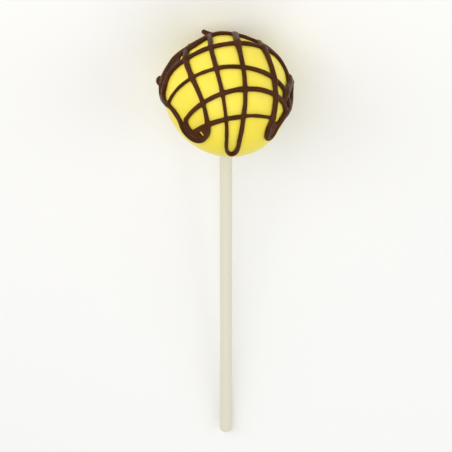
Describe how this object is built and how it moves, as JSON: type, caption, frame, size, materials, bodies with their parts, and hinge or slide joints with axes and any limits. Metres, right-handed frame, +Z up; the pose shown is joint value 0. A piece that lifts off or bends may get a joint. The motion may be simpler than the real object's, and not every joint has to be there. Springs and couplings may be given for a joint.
{
  "type": "cake pop",
  "caption": "Ball of cake in smooth yellow coating with a piped dark chocolate lattice over its top, on a white paper stick, lying on its back.",
  "frame": {"origin": "on the surface the part lies on, under the middle of its overall box", "axes": "+Y along the stick towards the top of the ball (the stick leans up 6.7 degrees towards the ball), +Z up, towards the decorated front, +X to the right of the decorated front"},
  "size_m": [0.0433, 0.1665, 0.0405],
  "materials": {
    "yellow_coating": "satin",
    "dark_chocolate": "satin",
    "white_paper": "matte"
  },
  "bodies": {
    "root": {"cake_ball": "yellow_coating", "chocolate_lattice": "dark_chocolate", "paper_stick": "white_paper"}
  },
  "joints": []
}
